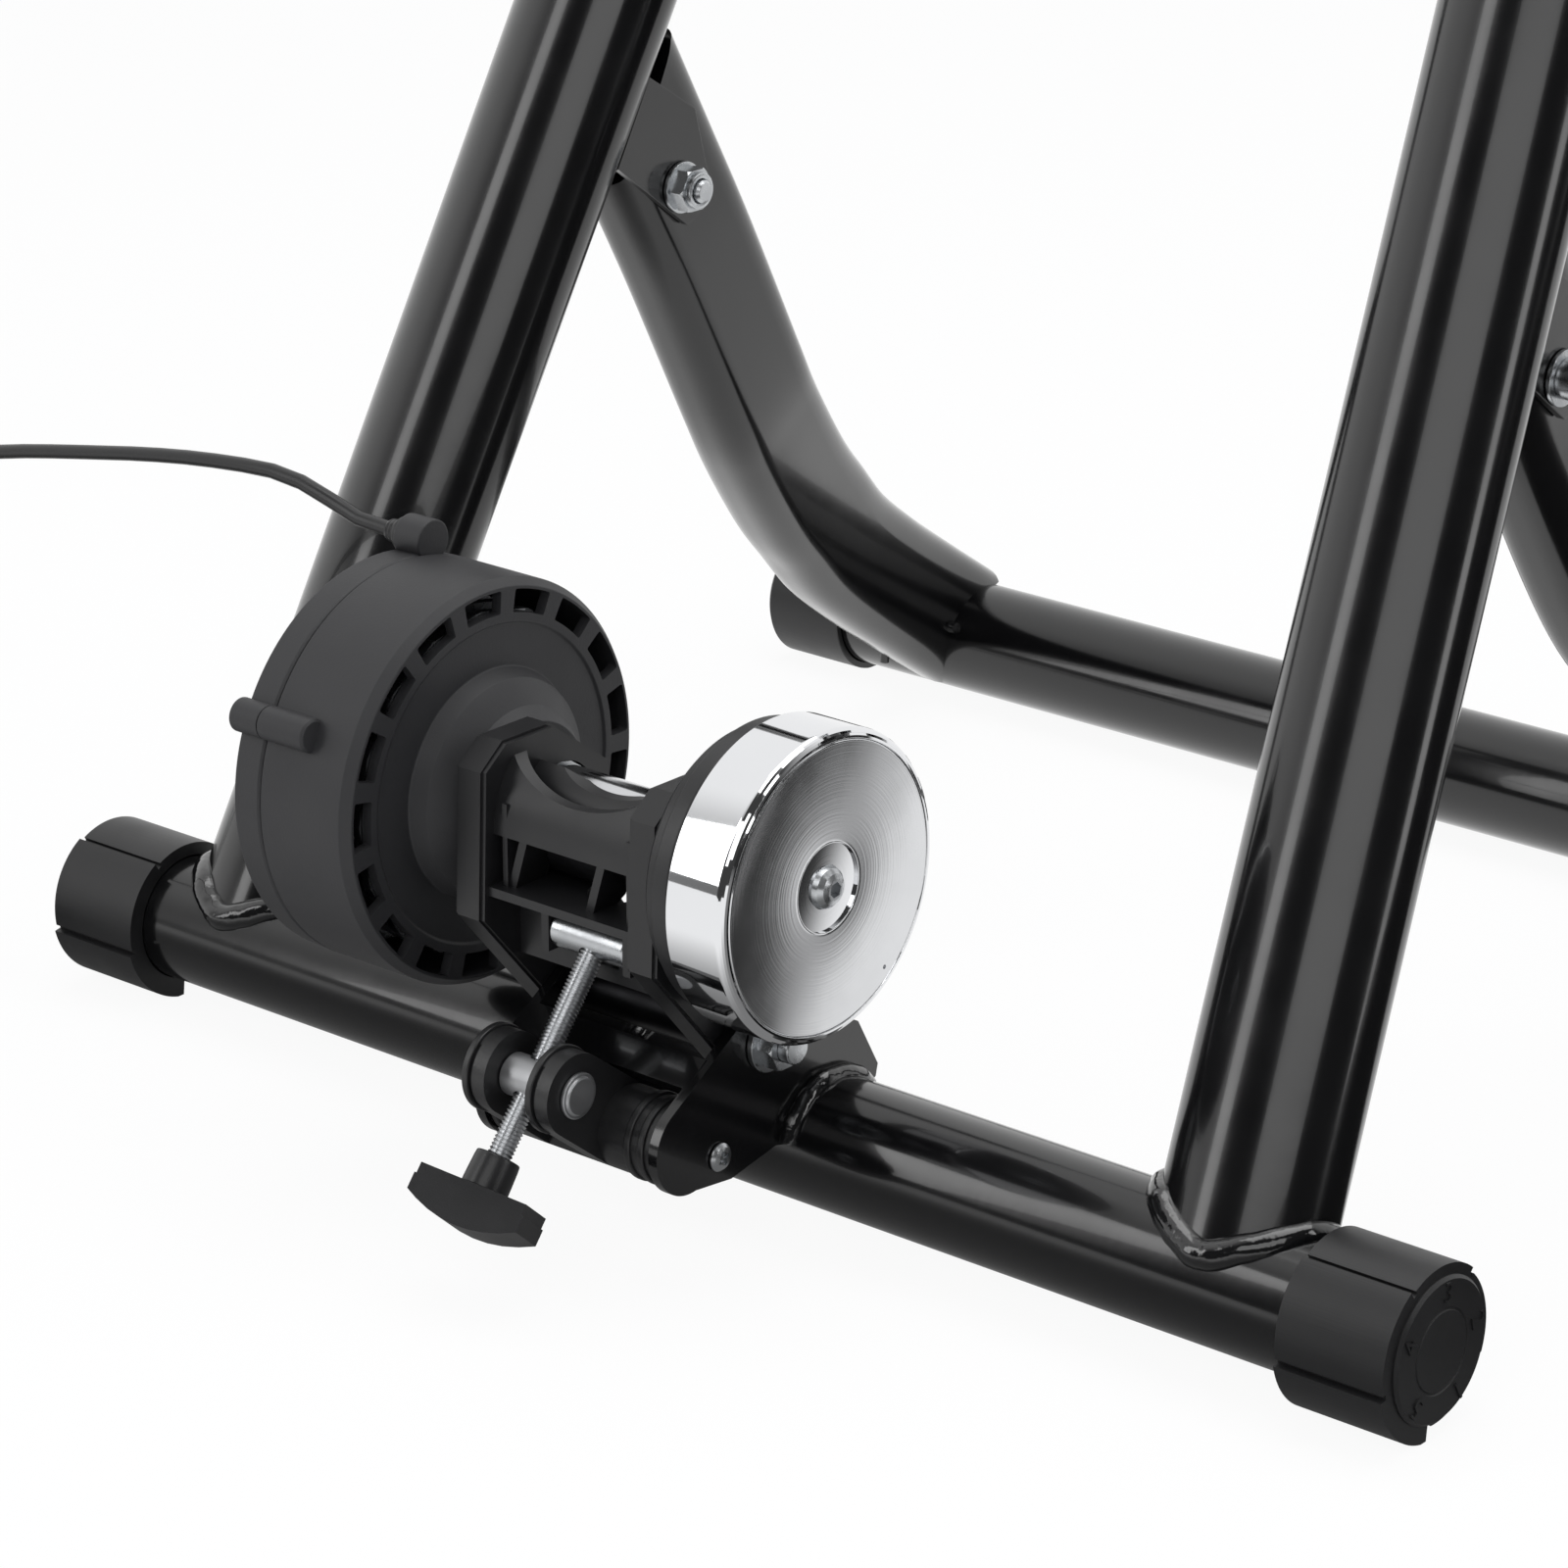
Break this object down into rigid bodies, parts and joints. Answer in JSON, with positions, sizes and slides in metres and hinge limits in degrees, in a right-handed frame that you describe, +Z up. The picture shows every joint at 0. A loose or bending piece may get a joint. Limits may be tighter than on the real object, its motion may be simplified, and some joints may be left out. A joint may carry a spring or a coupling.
{
  "type": "bicycle turbo trainer stand",
  "caption": "Folding steel trainer stand with axle clamps and a tilting magnetic resistance unit: roller, flywheel, drum, knob-set tilt and cable lever.",
  "frame": {"origin": "on the floor, under the middle of the stand's bounding box, the cable, its coil and its lever unit left out", "axes": "+Z up, +Y from the rear tube with the resistance unit towards the front tube, +X to the right seen from behind, along the roller's axis"},
  "size_m": [0.7338, 0.5664, 0.4379],
  "materials": {
    "black_enamel": "gloss black stove enamel",
    "black_moulding": "black moulded plastic, fine grain",
    "drum_plastic": "dark grey textured plastic",
    "flywheel_chrome": "turned and chromed",
    "polished_steel": "turned and polished steel",
    "zinc": "bright zinc plated",
    "black_steel": "blackened steel",
    "cast_black": "black painted casting"
  },
  "bodies": {
    "stand": {"rear_tube": "black_enamel", "left_upright": "black_enamel", "right_upright": "black_enamel", "left_fold_bracket": "black_enamel", "right_fold_bracket": "black_enamel", "left_fold_bolt": "zinc", "right_fold_bolt": "zinc", "left_fold_nut": "zinc", "right_fold_nut": "zinc", "unit_bracket": "black_enamel", "pivot_bolt": "zinc", "pivot_nut": "zinc", "pivot_sleeve": "black_steel", "adjuster_arm": "cast_black", "right_arm_screw": "zinc", "left_arm_screw": "zinc", "left_clamp_sleeve": "black_enamel", "right_clamp_sleeve": "black_enamel", "lever_pin": "zinc", "cable_run": "black_moulding", "cable_coil": "black_moulding", "remote_base": "black_moulding"},
    "left_levelling_cap": {"left_levelling_cap": "black_moulding"},
    "right_levelling_cap": {"right_levelling_cap": "black_moulding"},
    "front_frame": {"front_tube": "black_enamel", "left_front_leg": "black_enamel", "right_front_leg": "black_enamel", "front_left_cap": "black_moulding", "front_right_cap": "black_moulding"},
    "cradle": {"cradle": "black_moulding", "left_bearing": "polished_steel", "right_bearing": "polished_steel", "flywheel_guard": "black_moulding", "drum_housing": "drum_plastic", "drum_cover": "drum_plastic", "drum_screw_1": "black_steel", "drum_screw_2": "black_steel", "cable_gland": "black_moulding", "fixed_magnet_ring": "zinc", "return_spring": "polished_steel"},
    "rotor": {"roller": "polished_steel", "roller_shaft": "polished_steel", "rotor_disc": "polished_steel", "flywheel": "flywheel_chrome", "flywheel_washer": "zinc", "flywheel_screw": "zinc"},
    "magnet_carrier": {"magnet_carrier": "zinc"},
    "trunnion": {"trunnion": "polished_steel"},
    "barrel_nut": {"barrel_nut": "zinc"},
    "adjuster_screw": {"adjuster_rod": "polished_steel", "adjuster_knob": "black_moulding", "rod_clip": "black_steel"},
    "left_cup": {"left_clamp_cup": "zinc"},
    "left_spindle": {"left_clamp_spindle": "zinc", "left_clamp_knob": "black_moulding"},
    "left_lock_ring": {"left_lock_ring": "black_moulding"},
    "quick_release_lever": {"quick_release_lever": "black_steel"},
    "right_cup": {"right_clamp_cup": "zinc", "right_plunger": "zinc"},
    "remote_lever": {"remote_lever": "black_moulding"}
  },
  "joints": [
    {"name": "left_levelling_cap_turn", "type": "hinge", "parent": "stand", "child": "left_levelling_cap", "pos_m": [-0.25975, -0.15239, 0.028], "axis": [1, 0, 0], "continuous": true},
    {"name": "right_levelling_cap_turn", "type": "hinge", "parent": "stand", "child": "right_levelling_cap", "pos_m": [0.25975, -0.15239, 0.028], "axis": [1, 0, 0], "continuous": true},
    {"name": "front_frame_fold", "type": "hinge", "parent": "stand", "child": "front_frame", "pos_m": [0, 0.01795, 0.26534], "axis": [1, 0, 0], "range_deg": [-55, 0]},
    {"name": "knob_turn", "type": "hinge", "parent": "barrel_nut", "child": "adjuster_screw", "pos_m": [0.005, -0.24002, 0.06566], "axis": [0, 0.6366, 0.7712], "range_deg": [-2554.87, 430.06]},
    {"name": "trunnion_swing", "type": "hinge", "parent": "stand", "child": "trunnion", "pos_m": [0.005, -0.24002, 0.06566], "axis": [1, 0, 0], "range_deg": [-0.078, 0.462]},
    {"name": "barrel_travel", "type": "slide", "parent": "trunnion", "child": "barrel_nut", "axis": [0, 0.6366, 0.7712], "range_m": [-0.00887, 0.00149]},
    {"name": "cradle_tilt", "type": "hinge", "parent": "stand", "child": "cradle", "pos_m": [0, -0.18096, 0.07128], "axis": [1, 0, 0], "range_deg": [-2, 12]},
    {"name": "rotor_spin", "type": "hinge", "parent": "cradle", "child": "rotor", "pos_m": [0, -0.18937, 0.13237], "axis": [1, 0, 0], "continuous": true},
    {"name": "remote_lever_swing", "type": "hinge", "parent": "stand", "child": "remote_lever", "pos_m": [-0.3559, -0.20409, 0.009], "axis": [1, 0, 0], "range_deg": [0, 90]},
    {"name": "magnet_carrier_turn", "type": "hinge", "parent": "cradle", "child": "magnet_carrier", "pos_m": [-0.088, -0.18937, 0.13237], "axis": [1, 0, 0], "range_deg": [0, 30]},
    {"name": "left_spindle_turn", "type": "hinge", "parent": "left_cup", "child": "left_spindle", "pos_m": [-0.23, 0.04832, 0.40505], "axis": [1, 0, 0], "range_deg": [-1736, 440]},
    {"name": "left_cup_travel", "type": "slide", "parent": "stand", "child": "left_cup", "axis": [1, 0, 0], "range_m": [-0.012, 0.003]},
    {"name": "left_lock_ring_turn", "type": "hinge", "parent": "stand", "child": "left_lock_ring", "pos_m": [-0.216, 0.04832, 0.40505], "axis": [1, 0, 0], "range_deg": [0, 180]},
    {"name": "quick_release_swing", "type": "hinge", "parent": "stand", "child": "quick_release_lever", "pos_m": [0.222, 0.04832, 0.40505], "axis": [0, -1, 0], "range_deg": [0, 110]},
    {"name": "right_cup_travel", "type": "slide", "parent": "stand", "child": "right_cup", "axis": [1, 0, 0], "range_m": [0, 0.00301]}
  ],
  "couplings": [
    {"joint": "knob_turn", "follows": "cradle_tilt", "ratio": -212.48},
    {"joint": "trunnion_swing", "follows": "cradle_tilt", "ratio": 0.038429},
    {"joint": "barrel_travel", "follows": "cradle_tilt", "m_per_rad": -0.042272},
    {"joint": "magnet_carrier_turn", "follows": "remote_lever_swing", "ratio": 0.33333},
    {"joint": "left_spindle_turn", "follows": "left_cup_travel", "rad_per_m": 2513.3},
    {"joint": "right_cup_travel", "follows": "quick_release_swing", "m_per_rad": 0.0015626}
  ]
}
